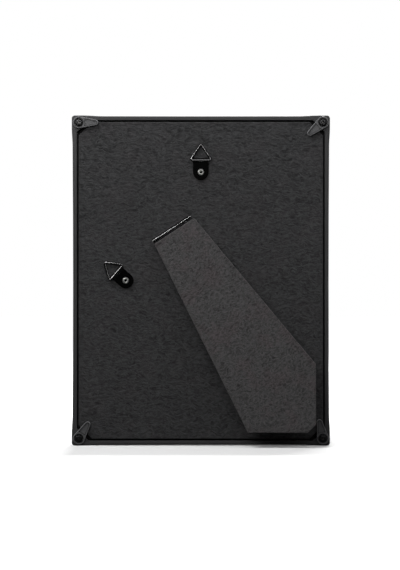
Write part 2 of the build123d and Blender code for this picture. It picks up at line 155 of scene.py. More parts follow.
class Shader:
    """Node tree of one material or of the world."""

    def __init__(self, tree: bpy.types.NodeTree) -> None:
        """Empties a tree.

        Args:
            tree: Node tree to fill.
        """
        self.tree = tree
        tree.nodes.clear()

    def add(
        self, kind: str, settings: dict[str, Setting], sockets: dict[str | int, Given]
    ) -> bpy.types.Node:
        """Adds one node of any type.

        Args:
            kind: The node's type.
            settings: Its properties, set first.
            sockets: Values or links of its inputs, by name or number.

        Returns:
            The new node.
        """
        node = self.tree.nodes.new(kind)
        for name, setting in settings.items():
            setattr(node, name, setting)
        for name, given in sockets.items():
            if isinstance(given, Value):
                given = given.socket
            if isinstance(given, bpy.types.NodeSocket):
                self.tree.links.new(given, node.inputs[name])
            else:
                node.inputs[name].default_value = given
        return node

    def math(self, operation: str, *operands: Operand) -> Value:
        """Number that an arithmetic operation gives."""
        node = self.add("ShaderNodeMath", {"operation": operation}, dict(enumerate(operands)))
        return Value(self, node.outputs[0])

    def mix(self, share: Operand, first: Given, second: Given, way: str = "MIX") -> Value:
        """Mixes two colours.

        Args:
            share: How much of the second colour there is.
            first: Colour at a share of 0.
            second: Colour at a share of 1.
            way: Blend type of the mix.

        Returns:
            The mixed colour.
        """
        settings = {"data_type": "RGBA", "blend_type": way}
        node = self.add("ShaderNodeMix", settings, {0: share, 6: first, 7: second})
        return Value(self, node.outputs[2])

    def place(self) -> Value:
        """Place on the piece, in millimetres of the standing frame."""
        node = self.add("ShaderNodeTexCoord", {}, {})
        return self.scaled(Value(self, node.outputs["Object"]), (1 / MM, 1 / MM, 1 / MM))

    def scaled(self, place: Value, scale: Triple, turn: Triple = (0.0, 0.0, 0.0)) -> Value:
        """Turns a place and stretches it along each axis.

        Args:
            place: Place to change.
            scale: Factor along X, Y and Z, after the turn.
            turn: Angles of the turn round X, Y and Z, in degrees.

        Returns:
            The changed place.
        """
        turned = self.add(
            "ShaderNodeVectorRotate",
            {"rotation_type": "EULER_XYZ"},
            {"Vector": place, "Rotation": tuple(math.radians(angle) for angle in turn)},
        )
        node = self.add(
            "ShaderNodeVectorMath", {"operation": "MULTIPLY"}, {0: turned.outputs[0], 1: scale}
        )
        return Value(self, node.outputs[0])

    def moved(self, place: Value, shift: Value, reach: float) -> Value:
        """Moves a place along a coloured noise.

        Args:
            place: Place to move.
            shift: Colour whose channels push along X, Y and Z.
            reach: Length of the push.

        Returns:
            The moved place.
        """
        node = self.add(
            "ShaderNodeVectorMath",
            {"operation": "MULTIPLY_ADD"},
            {0: shift, 1: (reach, reach, reach), 2: place},
        )
        return Value(self, node.outputs[0])

    def noise(
        self, place: Value, size: float, detail: float = 2.0, rough: float = 0.5, output: int = 0
    ) -> Value:
        """Cloudy noise.

        Args:
            place: Place at which the noise is read.
            size: Width of its largest clouds.
            detail: Number of finer layers.
            rough: Strength of each finer layer.
            output: 0 for a number from 0 to 1, 1 for a colour.

        Returns:
            The noise.
        """
        node = self.add(
            "ShaderNodeTexNoise",
            {"noise_dimensions": "3D"},
            {"Vector": place, "Scale": 1.0 / size, "Detail": detail, "Roughness": rough},
        )
        return Value(self, node.outputs[output])

    def cells(self, place: Value, size: float) -> Value:
        """Pattern of scattered cells.

        Args:
            place: Place at which the pattern is read.
            size: Width of a cell.

        Returns:
            Distance to the nearest cell's middle, about 0 to 1.
        """
        node = self.add(
            "ShaderNodeTexVoronoi", {"feature": "F1"}, {"Vector": place, "Scale": 1.0 / size}
        )
        return Value(self, node.outputs["Distance"])

    def facing(self) -> Value:
        """How far a face looks to the front of the frame.

        Returns:
            1 for the front, -1 for the back and 0 for a side.
        """
        node = self.add("ShaderNodeTexCoord", {}, {})
        split = self.add("ShaderNodeSeparateXYZ", {}, {0: node.outputs["Normal"]})
        return Value(self, split.outputs["Y"])

    def rim(self) -> Value:
        """Share of roundness at the edges between the back or front and the sides."""
        square = self.facing() ** 2.0
        return square * (1.0 - square) * 4.0

    def shut_in(self, reach: float, alone: bool = True) -> Value:
        """How much of the space over a point is closed off, for painting shade into a colour.

        Args:
            reach: How far away a wall still counts, in mm.
            alone: Whether only the piece's own walls count.

        Returns:
            0 on open ground, about 0.5 at the foot of a wall.
        """
        settings = {"only_local": alone, "samples": 16}
        node = self.add("ShaderNodeAmbientOcclusion", settings, {"Distance": reach * MM})
        return 1.0 - Value(self, node.outputs["AO"])

    def bump(self, height: Value, depth: float) -> Value:
        """Normal of a surface with relief.

        Args:
            height: Relief from 0 to 1.
            depth: Its full depth in millimetres.

        Returns:
            The normal.
        """
        node = self.add(
            "ShaderNodeBump", {}, {"Height": height, "Distance": depth * MM, "Strength": 1.0}
        )
        return Value(self, node.outputs["Normal"])

    def finish(self, sockets: dict[str | int, Given]) -> None:
        """Ends a material in a Principled shader with these sockets."""
        surface = self.add("ShaderNodeBsdfPrincipled", {}, sockets)
        self.add("ShaderNodeOutputMaterial", {}, {"Surface": surface.outputs[0]})


def new_material(name: str) -> tuple[bpy.types.Material, Shader]:
    """Makes an empty material.

    Args:
        name: The material's name.

    Returns:
        The material and its shader tree.
    """
    material = bpy.data.materials.new(name)
    material.use_nodes = True
    return material, Shader(material.node_tree)


def grey(level: float) -> tuple[float, float, float, float]:
    """Neutral colour with an alpha of 1."""
    return level, level, level, 1.0


def opaque(colour: Colour, level: float = 1.0) -> tuple[float, float, float, float]:
    """Colour at a level of brightness, with an alpha of 1."""
    return colour[0] * level, colour[1] * level, colour[2] * level, 1.0


# Finishes


@dataclass(frozen=True)
class MouldedPlastic:
    """Black plastic out of a spark-eroded mould, polished where hands and cloths touch it; its
    edges carry a painted highlight and the foot of its walls painted shade.
    """

    name: str
    colour: Colour
    roughness: float
    texture_size: float = 0.45
    texture_depth: float = 0.02
    flow_size: float = 16.0
    smudge_size: float = 5.0
    dust_size: float = 0.3
    dust_level: float = 0.35
    painted_edge_highlight: float = 0.45
    painted_shade_reach: float = 1.6
    painted_shade_alone: bool = True

    def material(self) -> bpy.types.Material:
        """Builds the material.

        Returns:
            Material with mould texture, flow clouds, polished edges with a painted highlight,
            fine dust, and painted shade at the foot of its walls.
        """
        material, shader = new_material(self.name)
        place = shader.place()
        texture = shader.noise(place, self.texture_size, detail=3.0, rough=0.6)
        flow = shader.noise(place, self.flow_size, detail=3.0)
        smudge = shader.noise(place, self.smudge_size, detail=4.0, rough=0.6).rise(0.45, 0.75)
        edge = shader.rim()
        dust = shader.noise(place, self.dust_size, detail=2.0).rise(0.72, 0.8)
        shade = shader.mix(flow, opaque(self.colour, 0.85), opaque(self.colour, 1.15))
        # Painted highlight: the rounded edges are painted up to twice as light, as where they
        # catch the light.
        shade = shader.mix(edge * self.painted_edge_highlight, shade, opaque(self.colour, 2.0))
        shade = shader.mix(dust * 0.15, shade, grey(self.dust_level))
        # Painted shade: the colour darkens towards a tenth where walls close off the space over a
        # point, at the foot of walls and in recesses.
        painted_shade = shader.shut_in(self.painted_shade_reach, self.painted_shade_alone).rise(0.06, 0.4)
        shade = shader.mix(painted_shade * 0.85, shade, opaque(self.colour, 0.1))
        rough = self.roughness + texture * 0.08 + smudge * 0.07 - edge * 0.1
        shader.finish(
            {
                "Base Color": shade,
                "Roughness": rough,
                "Specular IOR Level": 0.4,
                "Normal": shader.bump(texture, self.texture_depth),
            }
        )
        return material


@dataclass(frozen=True)
class Leatherette:
    """Embossed paper leather: wavy wrinkles that run one way over a fine pebble grain."""

    name: str
    colour: Colour
    tint: Colour
    tinted: float
    wrinkle_turn: float
    wrinkle_length: float = 5.0
    wrinkle_width: float = 1.5
    drift_size: float = 11.0
    drift_reach: float = 9.0
    pebble_size: float = 1.5
    pore_size: float = 1.1
    cloud_size: float = 17.0
    relief: float = 0.38
    painted_crease_shade: float = 0.0
    painted_ridge_light: float = 2.0
    roughness: float = 0.58

    def material(self) -> bpy.types.Material:
        """Builds the material.

        Returns:
            Material with wrinkles, pebbles, pores and tinted clouds, with painted shade in the low
            parts of its relief and a painted highlight on its edges.
        """
        material, shader = new_material(self.name)
        place = shader.place()
        drift = shader.noise(place, self.drift_size, detail=2.0, output=1)
        wandering = shader.moved(place, drift, self.drift_reach)
        stretch = (1.0 / self.wrinkle_length, 1.0, 1.0 / self.wrinkle_width)
        along = shader.scaled(wandering, stretch, (0.0, self.wrinkle_turn, 0.0))
        folds = shader.noise(along, 1.0, detail=3.0, rough=0.7).rise(0.28, 0.72)
        creases = 1.0 - abs(shader.noise(along, 2.1, detail=2.0) * 2.0 - 1.0)
        pebbles = shader.cells(wandering, self.pebble_size)
        pores = shader.noise(place, self.pore_size, detail=2.0, rough=0.7)
        relief = folds * 0.5 + creases.rise(0.6, 1.0) * 0.25 + pebbles * 0.1 + pores * 0.15
        clouds = shader.noise(place, self.cloud_size, detail=3.0, rough=0.6).rise(0.3, 0.7)
        blotches = shader.noise(place, self.cloud_size, detail=4.0, rough=0.62).rise(0.46, 0.62)
        # Colour follows the relief: painted shade down to black in the creases and hollows,
        # painted light up to twice the colour on the ridges.
        dark, light = opaque(self.colour, self.painted_crease_shade), opaque(self.colour, self.painted_ridge_light)
        shade = shader.mix(relief, dark, light)
        shade = shader.mix(clouds * 0.16, shade, opaque(self.colour, 1.3))
        shade = shader.mix(blotches * self.tinted, shade, opaque(self.tint), "MULTIPLY")
        # Painted highlight: the rounded edges are painted lighter, as where they catch the light.
        shade = shader.mix(shader.rim() * 0.4, shade, opaque(self.colour, 2.4))
        shader.finish(
            {
                "Base Color": shade,
                "Roughness": self.roughness - relief * 0.1 + pores * 0.1,
                "Specular IOR Level": 0.3,
                "Sheen Weight": 0.03,
                "Normal": shader.bump(relief, self.relief),
            }
        )
        return material


@dataclass(frozen=True)
class BlackPlating:
    """Bright black nickel on sheet steel or wire, rubbed paler along its edges."""

    name: str
    level: float = 0.24
    roughness: float = 0.07
    cloud_size: float = 2.4
    mark_size: float = 0.5
    wear_size: float = 1.1
    rubbed: float = 0.2
    rubbed_colour: Colour = (0.5, 0.49, 0.47)

    def material(self) -> bpy.types.Material:
        """Builds the material.

        Returns:
            Dark metal with drawing marks, finger clouds and pale rubbed edges.
        """
        material, shader = new_material(self.name)
        place = shader.place()
        clouds = shader.noise(place, self.cloud_size, detail=3.0).rise(0.4, 0.7)
        drawn = shader.scaled(place, (0.5, 2.0, 2.0))
        marks = shader.noise(drawn, self.mark_size, detail=2.0)
        patches = shader.noise(place, self.wear_size, detail=3.0).rise(0.5, 0.62)
        worn = patches * shader.rim().rise(0.3, 0.8)
        shade = shader.mix(clouds, grey(self.level), grey(self.level * 0.75))
        shade = shader.mix(worn * self.rubbed, shade, opaque(self.rubbed_colour))
        shader.finish(
            {
                "Base Color": shade,
                "Metallic": 1.0,
                "Roughness": self.roughness + clouds * 0.025 + marks * 0.015 + worn * 0.12,
                "Normal": shader.bump(marks, 0.003),
            }
        )
        return material


@dataclass(frozen=True)
class PlatedSteel:
    """Plated or blacked steel with turning marks, fine scratches and a little tarnish."""

    name: str
    colour: Colour
    tarnish: Colour
    roughness: float
    cloud_size: float = 1.3
    scratch_size: float = 0.5
    speck_size: float = 0.18

    def material(self) -> bpy.types.Material:
        """Builds the material.

        Returns:
            Metal with tarnished clouds and scratches that run across the frame.
        """
        material, shader = new_material(self.name)
        place = shader.place()
        clouds = shader.noise(place, self.cloud_size, detail=3.0).rise(0.4, 0.7)
        brushed = shader.scaled(place, (0.4, 4.0, 4.0))
        scratches = shader.noise(brushed, self.scratch_size, detail=2.0)
        specks = shader.noise(place, self.speck_size, detail=1.0).rise(0.66, 0.74)
        shade = shader.mix(clouds * 0.45, opaque(self.colour), opaque(self.tarnish))
        shade = shader.mix(specks * 0.5, shade, opaque(self.tarnish, 0.5))
        shader.finish(
            {
                "Base Color": shade,
                "Metallic": 1.0,
                "Roughness": self.roughness + clouds * 0.1 + scratches * 0.08,
                "Normal": shader.bump(scratches, 0.006),
            }
        )
        return material


@dataclass(frozen=True)
class FibreSheet:
    """Paper or board: fibres that lie every way in the sheet, with a slightly cloudy colour."""

    name: str
    colour: Colour
    fibre_colour: Colour
    fibre_width: float
    relief: float
    painted_shade_back: Colour | None = None
    fibre_length: float = 8.0
    fibre_turns: tuple[float, float] = (25.0, -50.0)
    drift_size: float = 3.0
    drift_reach: float = 2.5
    cloud_size: float = 9.0

    def material(self) -> bpy.types.Material:
        """Builds the material.

        Returns:
            Matt material with two crossing layers of fibres and soft clouds.
        """
        material, shader = new_material(self.name)
        place = shader.place()
        drift = shader.noise(place, self.drift_size, output=1)
        wandering = shader.moved(place, drift, self.drift_reach)
        stretch = (1.0 / self.fibre_length, 1.0, 1.0)
        layers = [
            shader.noise(shader.scaled(wandering, stretch, (0.0, turn, 0.0)), self.fibre_width)
            for turn in self.fibre_turns
        ]
        fibres = layers[0].over(layers[1])
        clouds = shader.noise(place, self.cloud_size, detail=3.0)
        shade = shader.mix(fibres.rise(0.45, 0.75), opaque(self.colour), opaque(self.fibre_colour))
        shade = shader.mix(clouds * 0.3, shade, opaque(self.colour, 0.9))
        # Painted shade: where given, the back faces are painted near black, as shade.
        if self.painted_shade_back:
            front = shader.facing().rise(0.3, 0.7)
            shade = shader.mix(front, opaque(self.painted_shade_back), shade)
        shader.finish(
            {
                "Base Color": shade,
                "Roughness": 0.85 + fibres * 0.1,
                "Specular IOR Level": 0.2,
                "Normal": shader.bump(fibres, self.relief),
            }
        )
        return material


@dataclass(frozen=True)
class PaneGlass:
    """Thin float glass with a faint green tint and a film of fine dust."""

    name: str = "pane_glass"
    colour: Colour = (0.965, 0.985, 0.975)
    dust_size: float = 0.4
    wipe_size: float = 1.0

    def material(self) -> bpy.types.Material:
        """Builds the material.

        Returns:
            Clear glass, a little rough where dust lies on it.
        """
        material, shader = new_material(self.name)
        place = shader.place()
        dust = shader.noise(place, self.dust_size, detail=2.0).rise(0.7, 0.78)
        wiped = shader.scaled(place, (0.05, 1.0, 0.2))
        wipe = shader.noise(wiped, self.wipe_size, detail=3.0)
        shader.finish(
            {
                "Base Color": opaque(self.colour),
                "Roughness": wipe.rise(0.45, 0.7) * 0.015 + dust * 0.04,
                "IOR": 1.5,
                "Transmission Weight": 1.0,
            }
        )
        return material


def hardboard(name: str) -> FibreSheet:
    """Brown pressed board, as the panel and the strut are cut from."""
    return FibreSheet(name, (0.2, 0.12, 0.065), (0.3, 0.19, 0.11), fibre_width=0.3, relief=0.03)


# Modelling by hand: selecting, editing and placing


def deselect_all() -> None:
    """Leaves nothing selected, so that an operator acts on its own piece alone."""
    for item in bpy.context.view_layer.objects:
        item.select_set(False)


@contextmanager
def editing(piece: bpy.types.Object) -> Iterator[None]:
    """Edit mode on one piece, which alone is selected.

    Args:
        piece: Piece to edit.

    Yields:
        Nothing, while edit mode is on.
    """
    deselect_all()
    piece.select_set(True)
    bpy.context.view_layer.objects.active = piece
    bpy.ops.object.mode_set(mode="EDIT")
    yield
    bpy.ops.object.mode_set(mode="OBJECT")


def pick_faces(piece: bpy.types.Object, wanted: Callable[[bmesh.types.BMFace], bool]) -> None:
    """Selects faces of the piece in edit mode.

    Args:
        piece: Piece that is being edited.
        wanted: Says of each face whether it is selected.
    """
    bpy.ops.mesh.select_all(action="DESELECT")
    bpy.ops.mesh.select_mode(type="FACE")
    mesh = bmesh.from_edit_mesh(piece.data)
    for face in mesh.faces:
        face.select_set(wanted(face))
    mesh.select_flush_mode()
    bmesh.update_edit_mesh(piece.data)


def pick_edges(piece: bpy.types.Object, wanted: Callable[[bmesh.types.BMEdge], bool]) -> None:
    """Selects edges of the piece in edit mode.

    Args:
        piece: Piece that is being edited.
        wanted: Says of each edge whether it is selected.
    """
    bpy.ops.mesh.select_all(action="DESELECT")
    bpy.ops.mesh.select_mode(type="EDGE")
    mesh = bmesh.from_edit_mesh(piece.data)
    for edge in mesh.edges:
        edge.select_set(wanted(edge))
    mesh.select_flush_mode()
    bmesh.update_edit_mesh(piece.data)


def apply_modifier(piece: bpy.types.Object, kind: str, settings: dict[str, object]) -> None:
    """Adds a modifier and applies it at once.

    Args:
        piece: Piece that it changes.
        kind: The modifier's type.
        settings: Its properties.
    """
    modifier = piece.modifiers.new(kind.lower(), kind)
    for name, value in settings.items():
        setattr(modifier, name, value)
    deselect_all()
    piece.select_set(True)
    bpy.context.view_layer.objects.active = piece
    bpy.ops.object.modifier_apply(modifier=modifier.name)


def close_shell(piece: bpy.types.Object) -> None:
    """Merges a piece's doubles, turns its faces outwards and smooths its gentle edges.

    Args:
        piece: Piece whose mesh is finished.
    """
    with editing(piece):
        bpy.ops.mesh.select_all(action="SELECT")
        bpy.ops.mesh.remove_doubles(threshold=MERGE_DISTANCE)
        bpy.ops.mesh.normals_make_consistent(inside=False)
    bpy.ops.object.shade_smooth_by_angle(angle=SMOOTH_BELOW)


def settle(piece: bpy.types.Object, place: Matrix) -> None:
    """Puts a piece's place into its mesh, and leaves the object at the origin.

    Args:
        piece: Piece modelled about the origin.
        place: Where it goes.
    """
    piece.data.transform(place @ piece.matrix_world)
    piece.matrix_world = Matrix.Identity(4)
    piece.data.update()


def dress(piece: bpy.types.Object, *materials: bpy.types.Material) -> None:
    """Gives a piece its materials in place of those it has.

    Args:
        piece: Piece to dress.
        materials: Its finishes, in the order of its faces' numbers.
    """
    piece.data.materials.clear()
    for material in materials:
        piece.data.materials.append(material)


def dress_node(node: str, material: bpy.types.Material) -> None:
    """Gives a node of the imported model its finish, and reports it.

    Args:
        node: The node's name.
        material: Its finish.
    """
    piece = frame["nodes"][node]
    for slot in piece.material_slots:
        slot.material = material
    log.info("%s: %s", node, material.name)


def report(piece: bpy.types.Object) -> None:
    """Writes one line about a finished piece."""
    log.info("%s: %d faces, new", piece.name, len(piece.data.polygons))


# The frame lying on its face, as its maker draws it, and standing


@dataclass(frozen=True)
class Blank:
    """Overall sizes of the frame, and how it stands."""

    width: float = 226.5 * MM
    height: float = 289.5 * MM

    def standing(self) -> Matrix:
        """Stands up what is drawn lying: X right, Y up the frame and Z out of its back.

        Returns:
            Matrix from the lying to the standing frame.
        """
        low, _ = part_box("moulding")
        return Matrix.Translation((0, low.y, self.height / 2)) @ Matrix.Rotation(
            math.radians(90), 4, "X"
        )


class Corner(Enum):
    """Corner of the frame: its side, its end and the turn of its screw in degrees."""

    TOP_LEFT = (-1, 1, 20.0)
    TOP_RIGHT = (1, 1, 5.0)
    BOTTOM_LEFT = (-1, -1, 50.0)
    BOTTOM_RIGHT = (1, -1, 70.0)

    @property
    def label(self) -> str:
        """The corner's name in the names of its pieces."""
        return self.name.lower()


# Sub-assemblies


@dataclass
class MouldedFrame:
    """One-piece moulded frame."""

    finish: MouldedPlastic = MouldedPlastic(
        "moulding_plastic", (0.040, 0.040, 0.041), roughness=0.42
    )

    def build(self) -> None:
        """Dresses the moulding."""
        dress_node("moulding", self.finish.material())


@dataclass
class Glazing:
    """Glass pane, and the bare paper insert behind it."""

    pane: PaneGlass = PaneGlass()
    paper: FibreSheet = FibreSheet(
        "insert_paper",
        (0.78, 0.77, 0.73),
        (0.84, 0.83, 0.8),
        fibre_width=0.25,
        relief=0.01,
        # The insert's back is painted near black: painted shade for the dark gap between the panel
        # and the moulding.
        painted_shade_back=(0.012, 0.012, 0.012),
    )

    def build(self) -> None:
        """Dresses pane and insert; clear glass shades nothing behind it."""
        dress_node("glass", self.pane.material())
        frame["nodes"]["glass"].visible_shadow = False
        dress_node("insert_sheet", self.paper.material())


@dataclass
class BackPanel:
    """Hardboard panel in its leatherette covering."""

    board: FibreSheet = hardboard("hardboard")
    covering: Leatherette = Leatherette(
        "panel_leatherette",
        (0.030, 0.030, 0.031),
        (1.12, 1.0, 1.02),
        tinted=0.3,
        wrinkle_turn=0.0,
    )

    def build(self) -> None:
        """Dresses board and covering."""
        dress_node("panel_board", self.board.material())
        dress_node("panel_covering", self.covering.material())


@dataclass
class Strut:
    """Easel strut: covered board, turned-in covering on its inner face and lining paper."""

    blank: Blank
    hinge_left: float = 25.65 * MM
    hinge_rise: float = 45.25 * MM
    hinge_height: float = 1.25 * MM
    hinge_tilt: float = 33.05
    ajar: float = 5.5
    head_width: float = 41.5 * MM
    side_offset: float = 0.85 * MM
    head_gap: float = 3.4 * MM
    flare: float = 6.6
    side_margin: float = 13.2 * MM
    foot_margin: float = 12.1 * MM
    corner_clip: float = 7.2 * MM
    inner_face: float = 2.7 * MM
    leaf_reach: float = 14.0 * MM
    bend_radius: float = 0.3 * MM
    turn_in_width: float = 10.0 * MM
    turn_in_thickness: float = 0.2 * MM
    lining_inset: float = 2.0 * MM
    lining_gap: float = 1.0 * MM
    lining_thickness: float = 0.25 * MM
    board: FibreSheet = hardboard("strut_hardboard")
    covering: Leatherette = Leatherette(
        "strut_leatherette",
        (0.049, 0.0475, 0.048),
        (1.16, 0.94, 0.98),
        tinted=0.45,
        wrinkle_turn=35.0,
        wrinkle_length=2.4,
        wrinkle_width=1.3,
    )
    paper: FibreSheet = FibreSheet(
        "lining_paper",
        (0.03, 0.03, 0.031),
        (0.045, 0.045, 0.046),
        fibre_width=0.35,
        relief=0.015,
    )

    def build(self) -> None:
        """Makes and dresses every piece of the strut."""
        leather = self.covering.material()
        dress_node("strut_board", self.board.material())
        dress_node("strut_covering", leather)
        turn_in = self.turned_in_covering()
        dress(turn_in, leather)
        lining = self.lining()
        dress(lining, self.paper.material())
        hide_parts("strut_lining")
        for piece, slot in ((turn_in, "leatherette"), (lining, "lining_paper")):
            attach(piece, "strut")
            report(piece)

    def hinge(self) -> Matrix:
        """Place of the hinge on the lying frame, with the pin along X."""
        return Matrix.Translation((-self.hinge_left, self.hinge_rise, 0)) @ Matrix.Rotation(
            math.radians(self.hinge_tilt), 4, "Z"
        )

    def swung_out(self) -> Matrix:
        """Stands up a piece of the folded strut and swings it out to where it rests.

        Returns:
            Matrix from the folded strut on the lying frame to the resting one.
        """
        pin = self.hinge() @ Matrix.Translation((0, 0, self.hinge_height))
        swing = pin @ Matrix.Rotation(-math.radians(self.ajar), 4, "X") @ pin.inverted()
        return self.blank.standing() @ swing

    def outline(self, name: str, depth: float) -> bpy.types.Object:
        """Cuts the strut's outline out of a flared blank, parallel to the frame's edges.

        Args:
            name: Name of the piece.
            depth: How far it lies inside the strut's inner face.

        Returns:
            Flat piece of one face, lying on the folded frame.
        """
        deselect_all()
        level = self.inner_face - depth
        bpy.ops.mesh.primitive_plane_add(size=self.head_width, location=(0, 0, 0))
        piece = bpy.context.object
        piece.name = name
        half = self.head_width / 2
        far = self.head_gap + self.blank.height
        spread = self.blank.height * math.tan(math.radians(self.flare))
        for vertex in piece.data.vertices:
            side = 1 if vertex.co.x > 0 else -1
            at_head = vertex.co.y > 0
            x = self.side_offset + side * (half if at_head else half + spread)
            vertex.co = (x, -self.head_gap if at_head else -far, level)
        piece.data.transform(self.hinge())
        right = self.blank.width / 2 - self.side_margin
        foot = self.foot_margin - self.blank.height / 2
        with editing(piece):
            for point, normal in (
                ((right, 0, level), (1, 0, 0)),
                ((0, foot, level), (0, -1, 0)),
                ((right, foot + self.corner_clip, level), (1, -1, 0)),
            ):
                self.cut(point, normal)
        return piece

    @staticmethod
    def cut(point: Triple | Vector, normal: Triple | Vector) -> None:
        """Cuts away what lies beyond a plane.

        Args:
            point: Point on the plane.
            normal: Direction of the side that goes.
        """
        bpy.ops.mesh.select_all(action="SELECT")
        bpy.ops.mesh.bisect(
            plane_co=point, plane_no=normal, clear_outer=True, threshold=CUT_TOLERANCE
        )

    def cut_head(self, gap: float) -> None:
        """Cuts away the strut's head, from the hinge to a gap beyond the leaf.

        Args:
            gap: How far beyond the leaf the cut lies.
        """
        hinge = self.hinge()
        point = hinge @ Vector((0, -self.leaf_reach - gap, self.inner_face))
        self.cut(point, hinge.to_3x3() @ Vector((0, 1, 0)))

    def turned_in_covering(self) -> bpy.types.Object:
        """Makes the covering's turned-in edges, mitred where two of them meet.

        Returns:
            Thin band along the sides and the foot of the strut's inner face.
        """
        piece = self.outline("strut_turn_in", 0.0)
        with editing(piece):
            bpy.ops.mesh.select_all(action="SELECT")
            bpy.ops.mesh.inset(thickness=self.bend_radius)
            bpy.ops.mesh.inset(thickness=self.turn_in_width)
            bpy.ops.mesh.delete(type="FACE")
            outer = self.outer_ring(piece)
            pick_faces(piece, lambda face: face.index in outer)
            bpy.ops.mesh.delete(type="FACE")
            self.cut_head(self.lining_gap / 2)
            bpy.ops.mesh.select_all(action="SELECT")
            bpy.ops.mesh.edge_split(type="EDGE")
        apply_modifier(piece, "SOLIDIFY", {"thickness": self.turn_in_thickness, "offset": -1.0})
        rounding = {"width": self.turn_in_thickness * 0.4, "segments": 2, "limit_method": "ANGLE"}
        apply_modifier(piece, "BEVEL", rounding)
        close_shell(piece)
        settle(piece, self.swung_out())
        return piece

    def outer_ring(self, piece: bpy.types.Object) -> set[int]:
        """Finds the narrow faces that the bend of the covering takes up.

        Args:
            piece: Band that is being edited.

        Returns:
            Numbers of those faces.
        """
        mesh = bmesh.from_edit_mesh(piece.data)
        return {
            face.index
            for face in mesh.faces
            if face.calc_area() < self.bend_radius * face.calc_perimeter()
        }

    def lining(self) -> bpy.types.Object:
        """Makes the lining paper, which steps up over the turned-in edges under it.

        Returns:
            Sheet from the hinge's leaf to just inside the strut's edges.
        """
        piece = self.outline("strut_lining_paper", self.turn_in_thickness)
        with editing(piece):
            bpy.ops.mesh.select_all(action="SELECT")
            bpy.ops.mesh.inset(thickness=self.lining_inset)
            bpy.ops.mesh.select_all(action="INVERT")
            bpy.ops.mesh.delete(type="FACE")
            self.cut_head(self.lining_gap)
            over_edges = self.bend_radius + self.turn_in_width - self.lining_inset
            bpy.ops.mesh.select_all(action="SELECT")
            bpy.ops.mesh.inset(thickness=over_edges)
            bpy.ops.mesh.inset(thickness=3 * self.turn_in_thickness, depth=self.turn_in_thickness)
        apply_modifier(piece, "SOLIDIFY", {"thickness": self.lining_thickness, "offset": -1.0})
        close_shell(piece)
        settle(piece, self.swung_out())
        return piece


@dataclass
class StrutHinge:
    """Rolled hinge of the strut: two leaves, the pin and the rivets of the fixed leaf."""

    blacking: BlackPlating = BlackPlating("hinge_black_nickel")
    plating: PlatedSteel = PlatedSteel(
        "nickel_plate", (0.72, 0.69, 0.64), (0.42, 0.38, 0.33), roughness=0.16
    )

    def build(self) -> None:
        """Dresses leaves, pin and rivets."""
        blacking = self.blacking.material()
        plating = self.plating.material()
        dress_node("hinge_leaf_fixed", blacking)
        dress_node("hinge_leaf_moving", blacking)
        dress_node("hinge_pin", plating)
        dress_node("hinge_rivets", plating)


